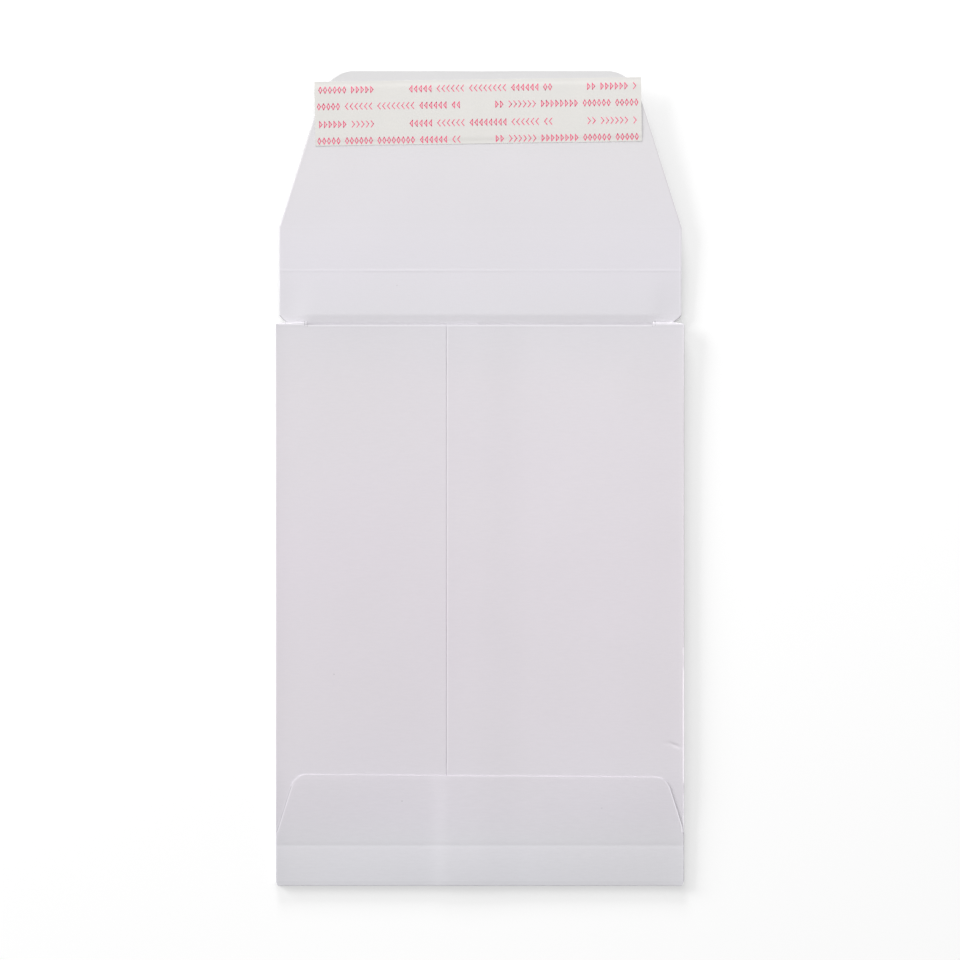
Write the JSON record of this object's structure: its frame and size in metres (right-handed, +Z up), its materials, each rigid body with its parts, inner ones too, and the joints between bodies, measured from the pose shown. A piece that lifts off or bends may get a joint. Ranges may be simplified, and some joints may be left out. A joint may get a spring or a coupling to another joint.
{
  "type": "gusseted envelope",
  "caption": "White gusseted pocket envelope lying on its front with its closure flap open, showing inward side gussets, back seam, glued bottom flap and a peel-off liner strip.",
  "frame": {"origin": "middle of the outline's length and width, on the surface that the envelope lies on", "axes": "+Y from the bottom fold to the flap's tip, +X to the right seen from the back, +Z up through the back panels"},
  "size_m": [0.1636, 0.3262, 0.0051],
  "materials": {
    "white_paper": "uncoated matt white paper with a fine grain",
    "adhesive": "clear pale pressure-sensitive adhesive, slightly glossy",
    "liner_paper": "smooth warm white coated release paper with small pink-red marks"
  },
  "bodies": {
    "root": {"envelope_blank": "white_paper", "adhesive_band": "adhesive", "release_liner": "liner_paper"}
  },
  "joints": []
}
